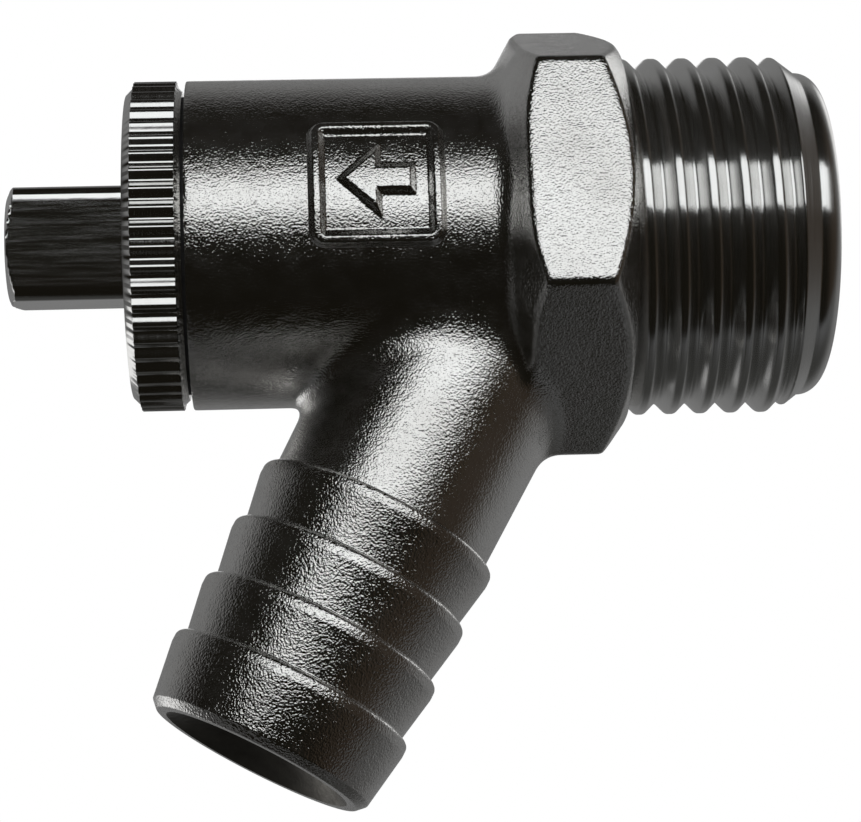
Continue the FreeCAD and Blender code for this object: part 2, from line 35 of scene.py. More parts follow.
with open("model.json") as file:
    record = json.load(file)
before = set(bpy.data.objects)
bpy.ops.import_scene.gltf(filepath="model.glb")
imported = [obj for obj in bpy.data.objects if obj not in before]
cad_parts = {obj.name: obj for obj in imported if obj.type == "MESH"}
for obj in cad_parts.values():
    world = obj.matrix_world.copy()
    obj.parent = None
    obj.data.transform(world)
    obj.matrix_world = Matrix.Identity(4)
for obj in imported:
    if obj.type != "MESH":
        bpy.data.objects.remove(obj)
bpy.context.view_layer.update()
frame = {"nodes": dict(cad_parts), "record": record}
MM = 0.001
MOUNTS = {mount["name"]: mount for mount in frame["record"]["mounts"]}


def box_mm(node):
    """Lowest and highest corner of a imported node, in millimetres."""
    low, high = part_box(node)
    return np.array(low) / MM, np.array(high) / MM


# Sizes read from the frame
BODY_LOW, BODY_HIGH = box_mm("valve_body")
BONNET_LOW, BONNET_HIGH = box_mm("bonnet")
GASKET_LOW, GASKET_HIGH = box_mm("bonnet_gasket")
SPINDLE_LOW, SPINDLE_HIGH = box_mm("spindle")
THREAD_RADIUS = MOUNTS["inlet_thread"]["dims"]["r_mm"]
INLET_RADIUS = MOUNTS["inlet_bore"]["dims"]["r_mm"]
BARB_RADIUS = MOUNTS["hose_tail"]["dims"]["r_mm"]
OUTLET_RADIUS = MOUNTS["outlet_bore"]["dims"]["r_mm"]
TAIL_AXIS = np.array(MOUNTS["hose_tail"]["axis"])
TAIL_PLACE = np.array(MOUNTS["hose_tail"]["pos_m"]) / MM
SPIGOT_END = BODY_HIGH[0]
HEX_APOTHEM = BODY_HIGH[1]
FLANGE_FRONT = BONNET_LOW[0]
FLANGE_BACK = GASKET_LOW[0]
FLANGE_RADIUS = BONNET_HIGH[2]
BARREL_END = GASKET_HIGH[0]
BARREL_RADIUS = FLANGE_RADIUS

# Casting
HEX_BACK = -5.5
HEX_SLOPE_LENGTH = 2.0
HEX_FLAT_REACH = 0.5
HEX_CORNER_BACK = -5.33
HEX_CORNER_ROUND = 0.6
HEX_EDGE_ROUND = 0.2
HEX_FILLET = 0.9
SHOULDER_LAND = 0.1
CHAMFER_SLOPE = math.tan(math.radians(36))
CHAMFER_SET_BACK = -0.36
BARREL_EDGE = 0.15
TAIL_ORIGIN = TAIL_PLACE - TAIL_AXIS * TAIL_PLACE[2] / TAIL_AXIS[2]
TAIL_START = 4.0
TAIL_ROOT_START = 6.0
TAIL_ROOT_RADIUS = 6.95
TAIL_NECK_RADIUS = 6.6
TAIL_NECK_LENGTH = 19.07
TAIL_SOCKET = 0.5
TAIL_SOCKET_RADIUS = 6.4
TAIL_FILLET = 1.6
BARB_COUNT = 4
BARB_PITCH = 3.6
BARB_LAND = 0.7
BARB_FOOT_RADIUS = 6.67
BARB_EDGE_ROUND = 0.3
BARB_FOOT_ROUND = 0.12
BARB_LAND_ROUND = 0.8
TAIL_LENGTH = 34.3
TAIL_TIP_RADIUS = 6.67
TAIL_TIP_EDGE = 0.45
TAIL_TIP_ROUND = 0.15
OUTLET_MOUTH_RADIUS = 5.6
OUTLET_MOUTH_DEPTH = 1.2
OUTLET_START = 7.0

# Raised panel on the barrel's side, with a plain flow arrow in it
PANEL_MIDDLE = -14.35
PANEL_LIFT = 0.24
PANEL_HALF = 3.36
PANEL_CORNER = 0.5
PANEL_RIM = 0.34
PANEL_HEIGHT = 0.4
PANEL_SIDE = 0.48
PANEL_FIELD = 0.04
PANEL_REACH = 4.15
PANEL_SINK = 0.06
PANEL_FLOOR = 0.5
ARROW_TIP = -2.0
ARROW_NECK = 0.1
ARROW_TAIL = 2.0
ARROW_HALF_WIDTH = 1.9
ARROW_SHAFT = 0.75

# Waterways inside the casting
SHANK_BORE = 7.35
SHANK_BORE_END = -17.65
CHAMBER_RADIUS = 6.9
SEAT_FACE = -4.0
SEAT_LIP = -5.0
SEAT_LIP_RADIUS = 5.0
SEAT_RADIUS = 4.0
INLET_END = -2.0
SPIGOT_ROOT = -0.5
SPIGOT_ROOT_RADIUS = 7.9
SPIGOT_ROOT_GAP = 0.1
SPIGOT_FACE = -0.03
SPIGOT_RIM = 0.35
CUT_OVERRUN = 1.0

# Inlet thread
THREAD_PITCH = 1.814
THREAD_DEPTH = 0.6
THREAD_CREST = 0.42
THREAD_PHASE = 0.6
THREAD_ROUND = 0.1
LEAD_RADIUS = 9.5
LEAD_START = 9.1
LEAD_SLOPE = 0.75
LEAD_ROUND = 1.15

# Bonnet
KNURL_COUNT = 54
KNURL_DEPTH = 0.32
KNURL_SHARPNESS = 0.75
KNURL_RUN_OUT = 0.04
FRONT_BEVEL = 0.43
FRONT_DROP = 0.75
BACK_BEVEL = 0.3
BACK_DROP = 0.6
SHANK_RADIUS = 7.3
SHANK_LENGTH = 7.2
STEM_HOLE = 4.25
STEM_HOLE_EDGE = 0.25
SCREW_BORE = 5.35
SHOULDER_DEPTH = 0.6
SEAL_DEPTH = 1.15
SEAL_LENGTH = 1.9
SEAL_RADIUS = 5.85
SHANK_END = FLANGE_BACK + SHANK_LENGTH
BONNET_SHOULDER = FLANGE_BACK + SHOULDER_DEPTH
SEAL_FRONT = FLANGE_FRONT + SEAL_DEPTH
SEAL_BACK = SEAL_FRONT + SEAL_LENGTH

# Spindle
SQUARE_HALF = 3.3
SQUARE_TURN = math.radians(-13)
SQUARE_ROUND = 0.75
SQUARE_EDGE = 0.55
SQUARE_END_RADIUS = 3.1
SQUARE_SINK = 0.4
SQUARE_ROOT = FLANGE_FRONT + SQUARE_SINK
STEM_RADIUS = 4.2
SCREW_FRONT = -21.45
SCREW_BACK = -14.05
NOSE_RADIUS = 4.4
SOCKET_RADIUS = 2.5
SOCKET_END = -15.55

# Fineness of the meshes
CASTING_STEP = 0.21
ROUND_STEPS = 96
TAIL_TURNS = 192
PANEL_STEPS = 134
SPIGOT_TURNS = 288
SPIGOT_ROWS = 190
KNURL_STEPS = 12
SQUARE_STEPS = 192
SQUARE_END_ROWS = 7
CASTING_SHARP = 40
BARB_SHARP = 30
SPIGOT_SHARP = 50
BONNET_SHARP = 35
SPINDLE_SHARP = 30

# Rows of faces that line the bore and get the bore's painted shade: just before the barbs' last row,
# and just after the spigot's rim
BARB_BORE_ROWS = 3
SPIGOT_BORE_ROWS = 2


def smooth_min(a, b, size):
    """The lower of two distances, with a fillet of about that size where they meet."""
    mix = np.clip(0.5 + 0.5 * (b - a) / size, 0, 1)
    return b + (a - b) * mix - size * mix * (1 - mix)


def smooth_max(a, b, size):
    """The higher of two distances, with a rounded edge of about that size where they meet."""
    return -smooth_min(-a, -b, size)


def smooth_step(value):
    value = np.clip(value, 0, 1)
    return value * value * (3 - 2 * value)


def hexagon_distance(y, z):
    """Distance to the hexagon's outline across the main axis, with two of its flats facing along Y."""
    inner = HEX_APOTHEM - HEX_CORNER_ROUND
    across, along = np.abs(y), np.abs(z)
    fold = 2 * np.minimum(-math.sqrt(3) / 2 * along + 0.5 * across, 0)
    along = along + math.sqrt(3) / 2 * fold
    across = across - 0.5 * fold
    half_flat = inner / math.sqrt(3)
    along = along - np.clip(along, -half_flat, half_flat)
    across = across - inner
    return np.hypot(along, across) * np.sign(across) - HEX_CORNER_ROUND


def hexagon_part(x, y, z, rho):
    """Hexagon with a turned chamfer at its shoulder and a cast slope down to the barrel.

    The slope is flat behind each flat, and a cone behind the corners.
    """
    outline = hexagon_distance(y, z)
    foot_apothem = BARREL_RADIUS * math.sqrt(3) / 2
    rise = (HEX_APOTHEM - foot_apothem) / HEX_SLOPE_LENGTH
    flat_slope = (outline - (x - HEX_BACK + HEX_FLAT_REACH) * rise) / math.hypot(1, rise)
    corner = (HEX_APOTHEM - HEX_CORNER_ROUND) * 2 / math.sqrt(3) + HEX_CORNER_ROUND
    climb = (corner - BARREL_RADIUS) / HEX_SLOPE_LENGTH
    round_slope = (rho - corner - (x - HEX_CORNER_BACK) * climb) / math.hypot(1, climb)
    slope = smooth_max(flat_slope, round_slope, HEX_EDGE_ROUND)
    from_cone = rho - THREAD_RADIUS - SHOULDER_LAND + (x + CHAMFER_SET_BACK) / CHAMFER_SLOPE
    cone = from_cone / math.hypot(1, 1 / CHAMFER_SLOPE)
    sides = smooth_max(outline, slope, HEX_EDGE_ROUND)
    end = smooth_max(cone, x, SHOULDER_LAND)
    return smooth_max(sides, end, HEX_EDGE_ROUND)


def square_frame(along, across):
    """Distance to the middle line of a square frame with rounded corners."""
    inner = PANEL_HALF - PANEL_CORNER
    far = np.hypot(np.maximum(np.abs(along) - inner, 0), np.maximum(np.abs(across) - inner, 0))
    near = np.minimum(np.maximum(np.abs(along), np.abs(across)) - inner, 0)
    return np.abs(far + near - PANEL_CORNER)


def flow_arrow(along, across):
    """Distance to an arrow that points away from the inlet."""
    half = np.abs(across)
    lean = ARROW_HALF_WIDTH / (ARROW_NECK - ARROW_TIP)
    head_side = (half - (along - ARROW_TIP) * lean) / math.hypot(1, lean)
    head = np.maximum(head_side, along - ARROW_NECK)
    shaft_start = ARROW_TIP / 2
    shaft = np.maximum(half - ARROW_SHAFT, np.maximum(along - ARROW_TAIL, shaft_start - along))
    return np.minimum(head, shaft)


def panel_rise(along, across):
    """How far the panel stands out of the barrel. Outside its rim it sinks into the barrel."""
    rim = smooth_step(0.5 - (square_frame(along, across) - PANEL_RIM) / PANEL_SIDE)
    arrow = smooth_step(0.5 - flow_arrow(along, across) / PANEL_SIDE)
    inside = np.maximum(np.abs(along), np.abs(across)) < PANEL_HALF
    ground = np.where(inside, PANEL_FIELD, -PANEL_SINK)
    return ground + (PANEL_HEIGHT - ground) * np.maximum(rim, arrow)


def barrel_part(x, rho):
    ends = np.maximum(BARREL_END - x, x - INLET_END)
    return smooth_max(rho - BARREL_RADIUS, ends, BARREL_EDGE)


def neck_part(x, y, z):
    """Neck of the hose tail, which ends inside the barbed piece."""
    dx, dz = x - TAIL_ORIGIN[0], z - TAIL_ORIGIN[2]
    along = dx * TAIL_AXIS[0] + dz * TAIL_AXIS[2]
    out = np.hypot(dx * TAIL_AXIS[2] - dz * TAIL_AXIS[0], y)
    taper = (TAIL_ROOT_RADIUS - TAIL_NECK_RADIUS) / (TAIL_NECK_LENGTH - TAIL_ROOT_START)
    side = out - TAIL_ROOT_RADIUS + (along - TAIL_ROOT_START) * taper
    return np.maximum(side, np.maximum(TAIL_START - along, along - TAIL_NECK_LENGTH - TAIL_SOCKET))


def casting_distance(x, y, z):
    """Signed distance to the outside of the casting."""
    rho = np.hypot(y, z)
    body = smooth_min(barrel_part(x, rho), neck_part(x, y, z), TAIL_FILLET)
    return smooth_min(body, hexagon_part(x, y, z, rho), HEX_FILLET)


def net_over(distance, low, high, step):
    """A quad mesh over a distance's zero level, with one vertex in each grid cell that it crosses."""
    axes = [np.arange(a, b + step, step) for a, b in zip(low, high)]
    field = distance(*np.meshgrid(*axes, indexing="ij", sparse=True))
    cells = tuple(size - 1 for size in field.shape)
    total = np.zeros((np.prod(cells), 3))
    count = np.zeros(np.prod(cells))
    quads = []
    for axis in range(3):
        near = np.moveaxis(field, axis, 0)[:-1]
        far = np.moveaxis(field, axis, 0)[1:]
        crossed = np.moveaxis((near < 0) != (far < 0), 0, axis)
        spot = np.argwhere(crossed)
        before = field[tuple(spot.T)]
        ahead = spot.copy()
        ahead[:, axis] += 1
        after = field[tuple(ahead.T)]
        point = spot.astype(float)
        point[:, axis] += before / (before - after)
        right, up = (axis + 1) % 3, (axis + 2) % 3
        corners = []
        for shift_right, shift_up in ((1, 1), (0, 1), (0, 0), (1, 0)):
            cell = spot.copy()
            cell[:, right] -= shift_right
            cell[:, up] -= shift_up
            index = np.ravel_multi_index(tuple(cell.T), cells)
            for part in range(3):
                total[:, part] += np.bincount(index, point[:, part], len(count))
            count += np.bincount(index, minlength=len(count))
            corners.append(index)
        loop = np.stack(corners, axis=1)
        quads.append(np.where((before < 0)[:, None], loop, loop[:, ::-1]))
    used = np.flatnonzero(count)
    number = np.full(len(count), -1)
    number[used] = np.arange(len(used))
    vertices = total[used] / count[used, None] * step + np.array([axis[0] for axis in axes])
    return vertices, number[np.concatenate(quads)]


def settle(distance, points, rounds=4, reach=0.02, least_steepness=0.05):
    """Moves points onto the zero level, along the distance's own gradient."""
    for _ in range(rounds):
        value = distance(*points.T)
        gradient = np.stack([
            (distance(*(points + shift).T) - distance(*(points - shift).T)) / (2 * reach)
            for shift in np.eye(3) * reach
        ], axis=1)
        steepness = np.maximum((gradient ** 2).sum(axis=1), least_steepness)
        points = points - gradient * (value / steepness)[:, None]
    return points


def new_piece(name, vertices, faces, sharp=None):
    """A smooth-shaded mesh object from points in millimetres."""
    mesh = bpy.data.meshes.new(name)
    mesh.from_pydata((np.asarray(vertices) * MM).tolist(), [], [list(map(int, face)) for face in faces])
    mesh.update()
    mesh.shade_smooth()
    if sharp is not None:
        mesh.set_sharp_from_angle(angle=math.radians(sharp))
    piece = bpy.data.objects.new(name, mesh)
    bpy.context.scene.collection.objects.link(piece)
    return piece


def ring_faces(rows, turns, closed):
    """Quads between rows of points that each go once round the axis."""
    faces = []
    for row in range(rows if closed else rows - 1):
        here = row * turns
        following = (row + 1) % rows * turns
        for turn in range(turns):
            beside = (turn + 1) % turns
            faces.append((here + turn, here + beside, following + beside, following + turn))
    return faces


def capped(points, turns, start, end):
    """Points and faces of a solid made of rings, closed by a fan round the axis at each end."""
    rows = len(points) // turns
    faces = ring_faces(rows, turns, closed=False)
    first, last = len(points), len(points) + 1
    top = (rows - 1) * turns
    for turn in range(turns):
        beside = (turn + 1) % turns
        faces.append((first, beside, turn))
        faces.append((last, top + turn, top + beside))
    return np.concatenate([points, [[start, 0, 0], [end, 0, 0]]]), faces


def around(x, radius, angle):
    """Points at an angle about the main axis, right-handed about +X."""
    x, radius, angle = np.broadcast_arrays(x, radius, angle)
    return np.stack([x, radius * np.cos(angle), radius * np.sin(angle)], axis=-1).reshape(-1, 3)


def turns_of(count):
    return np.arange(count) * 2 * math.pi / count


def rounded(corners, steps=5):
    """An outline through (along, out, radius) corners, each turned into an arc of its radius."""
    places = np.array([corner[:2] for corner in corners], float)
    outline = []
    for index, (place, corner) in enumerate(zip(places, corners)):
        radius = corner[2]
        if radius == 0:
            outline.append(place)
            continue
        back = places[index - 1] - place
        ahead = places[index + 1] - place
        back = back / np.linalg.norm(back)
        ahead = ahead / np.linalg.norm(ahead)
        half = math.acos(back @ ahead) / 2
        middle = (back + ahead) / np.linalg.norm(back + ahead)
        centre = place + middle * radius / math.sin(half)
        first = place + back * radius / math.tan(half) - centre
        last = place + ahead * radius / math.tan(half) - centre
        for share in np.linspace(0, 1, steps + 1):
            spoke = first * (1 - share) + last * share
            outline.append(centre + spoke / np.linalg.norm(spoke) * radius)
    return np.array(outline)


def turned_cutter(name, profile, matrix=None):
    """A closed turned solid from (along, out) points that start and end on the axis."""
    inner = np.array(profile[1:-1], float)
    rings = around(inner[:, :1], inner[:, 1:], turns_of(ROUND_STEPS)[None, :])
    cutter = new_piece(name, *capped(rings, ROUND_STEPS, profile[0][0], profile[-1][0]))
    if matrix is not None:
        cutter.data.transform(matrix)
    return cutter


def cut(piece, cutter):
    """Cuts one solid out of another and keeps the result in the piece's own mesh."""
    modifier = piece.modifiers.new("cut", "BOOLEAN")
    modifier.operation = "DIFFERENCE"
    modifier.solver = "MANIFOLD"
    modifier.object = cutter
    result = bpy.data.meshes.new_from_object(piece.evaluated_get(bpy.context.evaluated_depsgraph_get()))
    piece.modifiers.clear()
    piece.data = result
    bpy.data.objects.remove(cutter)


def tail_matrix():
    """Places a piece that is turned about X on the axis of the hose tail."""
    turn = Vector((1, 0, 0)).rotation_difference(Vector(TAIL_AXIS)).to_matrix().to_4x4()
    return Matrix.Translation(Vector(TAIL_ORIGIN) * MM) @ turn


def make_casting():
    margin = 3 * CASTING_STEP
    low = np.array([min(BARREL_END, BODY_LOW[0]), -HEX_APOTHEM, BODY_LOW[2]]) - margin
    high = np.array([0, HEX_APOTHEM, BODY_HIGH[2]]) + margin
    vertices, faces = net_over(casting_distance, low, high, CASTING_STEP)
    casting = new_piece("casting", settle(casting_distance, vertices), faces)
    root_radius = SPIGOT_ROOT_RADIUS + SPIGOT_ROOT_GAP
    cut(casting, turned_cutter("waterway", [
        (BARREL_END - CUT_OVERRUN, 0),
        (BARREL_END - CUT_OVERRUN, SHANK_BORE),
        (SHANK_BORE_END, SHANK_BORE),
        (SHANK_BORE_END, CHAMBER_RADIUS),
        (SEAT_FACE, CHAMBER_RADIUS),
        (SEAT_FACE, SEAT_LIP_RADIUS),
        (SEAT_LIP, SEAT_LIP_RADIUS),
        (SEAT_LIP, SEAT_RADIUS),
        (INLET_END, SEAT_RADIUS),
        (INLET_END, INLET_RADIUS),
        (SPIGOT_ROOT, INLET_RADIUS),
        (SPIGOT_ROOT, root_radius),
        (CUT_OVERRUN, root_radius),
        (CUT_OVERRUN, 0),
    ]))
    cut(casting, turned_cutter("outlet", [
        (OUTLET_START, 0),
        (OUTLET_START, OUTLET_RADIUS),
        (TAIL_LENGTH, OUTLET_RADIUS),
        (TAIL_LENGTH, 0),
    ], tail_matrix()))
    casting.data.shade_smooth()
    casting.data.set_sharp_from_angle(angle=math.radians(CASTING_SHARP))
    return casting


def make_barbs():
    """Barbed end of the hose tail: each barb has a short land and a taper towards the tip."""
    corners = [(TAIL_NECK_LENGTH, TAIL_SOCKET_RADIUS, 0)]
    for barb in range(BARB_COUNT):
        ridge = TAIL_NECK_LENGTH + barb * BARB_PITCH
        if barb > 0:
            corners.append((ridge, BARB_FOOT_RADIUS, BARB_FOOT_ROUND))
        corners.append((ridge, BARB_RADIUS, BARB_EDGE_ROUND))
        corners.append((ridge + BARB_LAND, BARB_RADIUS, BARB_LAND_ROUND))
    socket_end = TAIL_NECK_LENGTH + TAIL_SOCKET
    corners += [
        (TAIL_LENGTH - TAIL_TIP_EDGE, TAIL_TIP_RADIUS, TAIL_TIP_ROUND),
        (TAIL_LENGTH, TAIL_TIP_RADIUS - TAIL_TIP_EDGE, TAIL_TIP_ROUND),
        (TAIL_LENGTH, OUTLET_MOUTH_RADIUS, 0),
        (TAIL_LENGTH - OUTLET_MOUTH_DEPTH, OUTLET_RADIUS, 0),
        (socket_end, OUTLET_RADIUS, 0),
        (socket_end, TAIL_SOCKET_RADIUS, 0),
    ]
    outline = rounded(corners)
    points = around(outline[:, :1], outline[:, 1:], turns_of(TAIL_TURNS)[None, :])
    faces = ring_faces(len(outline), TAIL_TURNS, closed=True)
    barbs = new_piece("hose_barbs", points, faces, BARB_SHARP)
    barbs.data.transform(tail_matrix())
    return barbs


def make_panel():
    """Panel with a fine face and an underside sunk into the barrel's wall."""
    span = np.linspace(-PANEL_REACH, PANEL_REACH, PANEL_STEPS)
    along, across = np.meshgrid(span, span, indexing="ij")
    angle = math.pi - (across + PANEL_LIFT) / BARREL_RADIUS
    face = around(PANEL_MIDDLE + along, BARREL_RADIUS + panel_rise(along, across), angle)
    number = np.arange(PANEL_STEPS ** 2).reshape(PANEL_STEPS, PANEL_STEPS)
    loop = np.concatenate([number[:-1, 0], number[-1, :-1], number[:0:-1, -1], number[0, :0:-1]])
    sunk = around(PANEL_MIDDLE + along, BARREL_RADIUS - PANEL_FLOOR, angle)[loop]
    middle = around(PANEL_MIDDLE, BARREL_RADIUS - PANEL_FLOOR, math.pi)
    lower = len(face) + np.arange(len(loop))
    centre = np.full(len(loop), len(face) + len(loop))
    corners = [number[:-1, :-1], number[1:, :-1], number[1:, 1:], number[:-1, 1:]]
    quads = np.stack(corners, axis=-1).reshape(-1, 4)
    sides = np.stack([loop, lower, np.roll(lower, -1), np.roll(loop, -1)], axis=1)
    under = np.stack([np.roll(lower, -1), lower, centre], axis=1)
    points = np.concatenate([face, sunk, middle])
    return new_piece("side_panel", points, [*quads, *sides, *under])


def thread_radius(x, angle):
    """Outside of the spigot: a right-handed thread with flanks at 45 degrees, then a turned lead."""
    turn = (x - THREAD_PHASE) / THREAD_PITCH - angle / (2 * math.pi)
    from_root = np.abs(turn - np.round(turn)) * THREAD_PITCH
    flank = (THREAD_PITCH - THREAD_CREST) / 2 - from_root
    depth = smooth_max(smooth_min(flank, THREAD_DEPTH, THREAD_ROUND), 0, THREAD_ROUND)
    lead = np.maximum(LEAD_RADIUS, THREAD_RADIUS - (x - LEAD_START) * LEAD_SLOPE)
    edge = np.maximum(x - (SPIGOT_END - LEAD_ROUND), 0) / LEAD_ROUND
    lead = lead - LEAD_ROUND * (1 - np.sqrt(np.maximum(1 - edge ** 2, 0)))
    return smooth_min(THREAD_RADIUS - depth, lead, THREAD_ROUND)


def make_spigot():
    angle = turns_of(SPIGOT_TURNS)[None, :]
    x = np.linspace(SPIGOT_FACE, SPIGOT_END, SPIGOT_ROWS)[:, None]
    outside = around(x, thread_radius(x, angle), angle)
    rest = np.array([
        (SPIGOT_END, INLET_RADIUS + SPIGOT_RIM),
        (SPIGOT_END - SPIGOT_RIM, INLET_RADIUS),
        (SPIGOT_ROOT, INLET_RADIUS),
        (SPIGOT_ROOT, SPIGOT_ROOT_RADIUS),
        (SPIGOT_FACE, SPIGOT_ROOT_RADIUS),
    ])
    inside = around(rest[:, :1], rest[:, 1:], angle)
    faces = ring_faces(SPIGOT_ROWS + len(rest), SPIGOT_TURNS, closed=True)
    return new_piece("inlet_spigot", np.concatenate([outside, inside]), faces, SPIGOT_SHARP)


def make_bonnet():
    """Bonnet whose knurl ends at plain bevels, with the shank and seal groove inside."""
    angle = turns_of(KNURL_COUNT * KNURL_STEPS)[None, :]
    wave = np.arcsin(KNURL_SHARPNESS * np.cos(KNURL_COUNT * angle)) / math.asin(KNURL_SHARPNESS)
    teeth = FLANGE_RADIUS - KNURL_DEPTH / 2 * (1 - wave)
    valley = FLANGE_RADIUS - KNURL_DEPTH
    rows = [
        (FLANGE_FRONT, FLANGE_RADIUS - FRONT_DROP),
        (FLANGE_FRONT + FRONT_BEVEL, valley),
        (FLANGE_FRONT + FRONT_BEVEL + KNURL_RUN_OUT, teeth),
        (FLANGE_BACK - BACK_BEVEL - KNURL_RUN_OUT, teeth),
        (FLANGE_BACK - BACK_BEVEL, valley),
        (FLANGE_BACK, FLANGE_RADIUS - BACK_DROP),
        (FLANGE_BACK, SHANK_RADIUS),
        (SHANK_END, SHANK_RADIUS),
        (SHANK_END, SCREW_BORE),
        (BONNET_SHOULDER, SCREW_BORE),
        (BONNET_SHOULDER, STEM_HOLE),
        (SEAL_BACK, STEM_HOLE),
        (SEAL_BACK, SEAL_RADIUS),
        (SEAL_FRONT, SEAL_RADIUS),
        (SEAL_FRONT, STEM_HOLE),
        (FLANGE_FRONT + STEM_HOLE_EDGE, STEM_HOLE),
        (FLANGE_FRONT, STEM_HOLE + STEM_HOLE_EDGE),
    ]
    points = np.concatenate([around(x, radius, angle) for x, radius in rows])
    faces = ring_faces(len(rows), angle.size, closed=True)
    return new_piece("knurled_bonnet", points, faces, BONNET_SHARP)


def square_radius(angle):
    """Section of the key end: a square with round corners."""
    long_part = np.maximum(np.abs(np.cos(angle + SQUARE_TURN)), np.abs(np.sin(angle + SQUARE_TURN)))
    short_part = np.sqrt(1 - long_part ** 2)
    middle = SQUARE_HALF - SQUARE_ROUND
    inside = SQUARE_ROUND ** 2 - middle ** 2 * (1 - 2 * long_part * short_part)
    corner = middle * (long_part + short_part) + np.sqrt(np.maximum(inside, 0))
    return np.where(short_part * SQUARE_HALF > middle * long_part, corner, SQUARE_HALF / long_part)


def make_spindle():
    angle = turns_of(SQUARE_STEPS)[None, :]
    square = square_radius(angle)
    end = SPINDLE_LOW[0]
    rows = []
    for share in np.linspace(0, 1, SQUARE_END_ROWS):
        limit = SQUARE_END_RADIUS + (square.max() - SQUARE_END_RADIUS) * share
        rows.append(around(end + SQUARE_EDGE * share, np.minimum(square, limit), angle))
    rows.append(around(SQUARE_ROOT, square, angle))
    for x, radius in (
        (SQUARE_ROOT, STEM_RADIUS),
        (SCREW_FRONT, STEM_RADIUS),
        (SCREW_FRONT, SPINDLE_HIGH[2]),
        (SCREW_BACK, SPINDLE_HIGH[2]),
        (SCREW_BACK, NOSE_RADIUS),
        (SPINDLE_HIGH[0], NOSE_RADIUS),
        (SPINDLE_HIGH[0], SOCKET_RADIUS),
        (SOCKET_END, SOCKET_RADIUS),
    ):
        rows.append(around(x, np.full_like(angle, radius), angle))
    points, faces = capped(np.concatenate(rows), SQUARE_STEPS, end, SOCKET_END)
    return new_piece("key_spindle", points, faces, SPINDLE_SHARP)


# Middle range of a noise, and the two tones of each kind of plating
NOISE_LOW = 0.3
NOISE_HIGH = 0.7
CAST_TONES = ((0.68, 0.67, 0.65), (0.79, 0.785, 0.77))
TURNED_TONES = ((0.73, 0.725, 0.71), (0.81, 0.81, 0.80))

# How far the plating's roughness varies, its relief in metres, and the turn of its grain
CAST_SPREAD = 0.08
CAST_WAVES = 1e-5
TURNED_SPREAD = 0.07
TURNED_LINES = 2e-6
TURNED_WAVES = 4e-6
GRAIN_TURN = 0.25


def new_material(name):
    material = bpy.data.materials.new(name)
    material.use_nodes = True
    return material, material.node_tree, material.node_tree.nodes["Principled BSDF"]


def noise_on(tree, scale, detail, stretch=(1, 1, 1)):
    """Noise over object coordinates, in features per metre along each axis."""
    place = tree.nodes.new("ShaderNodeTexCoord")
    mapping = tree.nodes.new("ShaderNodeMapping")
    mapping.inputs["Scale"].default_value = [scale * part for part in stretch]
    noise = tree.nodes.new("ShaderNodeTexNoise")
    noise.inputs["Scale"].default_value = 1
    noise.inputs["Detail"].default_value = detail
    tree.links.new(place.outputs["Object"], mapping.inputs["Vector"])
    tree.links.new(mapping.outputs["Vector"], noise.inputs["Vector"])
    return noise.outputs["Fac"]


def spread(tree, value, socket, low, high):
    """Maps a noise's middle range onto a shader input."""
    span = tree.nodes.new("ShaderNodeMapRange")
    span.inputs["From Min"].default_value = NOISE_LOW
    span.inputs["From Max"].default_value = NOISE_HIGH
    span.inputs["To Min"].default_value = low
    span.inputs["To Max"].default_value = high
    tree.links.new(value, span.inputs["Value"])
    tree.links.new(span.outputs["Result"], socket)


def tint(tree, value, socket, dark, light):
    """Colours an input between two tones."""
    ramp = tree.nodes.new("ShaderNodeValToRGB")
    for element, place, tone in zip(ramp.color_ramp.elements, (NOISE_LOW, NOISE_HIGH), (dark, light)):
        element.position = place
        element.color = (*tone, 1)
    tree.links.new(value, ramp.inputs["Fac"])
    tree.links.new(ramp.outputs["Color"], socket)


def bumps(tree, shader, layers):
    """Chains bump layers, each a height and its distance in metres, into the shader's normal."""
    normal = None
    for height, distance in layers:
        bump = tree.nodes.new("ShaderNodeBump")
        bump.inputs["Strength"].default_value = 1
        bump.inputs["Distance"].default_value = distance
        tree.links.new(height, bump.inputs["Height"])
        if normal is not None:
            tree.links.new(normal, bump.inputs["Normal"])
        normal = bump.outputs["Normal"]
    tree.links.new(normal, shader.inputs["Normal"])


def cast_plating(name, dimples, roughness):
    """Bright plating over a sand-cast skin: a mirror broken up by fine dimples."""
    material, tree, shader = new_material(name)
    shader.inputs["Metallic"].default_value = 1
    stain = noise_on(tree, scale=220, detail=3)
    tint(tree, stain, shader.inputs["Base Color"], *CAST_TONES)
    scuffs = noise_on(tree, scale=900, detail=2)
    spread(tree, scuffs, shader.inputs["Roughness"], roughness, roughness + CAST_SPREAD)
    bumps(tree, shader, [
        (noise_on(tree, scale=2500, detail=0), CAST_WAVES),
        (noise_on(tree, scale=8000, detail=1), dimples),
    ])
    return material


def turned_plating(name, lines, roughness, grain=0.0):
    """Bright plating over a tooled surface, with so many fine lines a metre along each axis."""
    material, tree, shader = new_material(name)
    shader.inputs["Metallic"].default_value = 1
    stain = noise_on(tree, scale=300, detail=3)
    tint(tree, stain, shader.inputs["Base Color"], *TURNED_TONES)
    streak = noise_on(tree, scale=1, detail=2, stretch=lines)
    spread(tree, streak, shader.inputs["Roughness"], roughness, roughness + TURNED_SPREAD)
    bumps(tree, shader, [
        (streak, TURNED_LINES),
        (noise_on(tree, scale=1500, detail=2), TURNED_WAVES),
    ])
    if grain:
        tangent = tree.nodes.new("ShaderNodeTangent")
        tangent.direction_type = "RADIAL"
        tangent.axis = "X"
        tree.links.new(tangent.outputs["Tangent"], shader.inputs["Tangent"])
        shader.inputs["Anisotropic"].default_value = grain
        shader.inputs["Anisotropic Rotation"].default_value = GRAIN_TURN
    return material


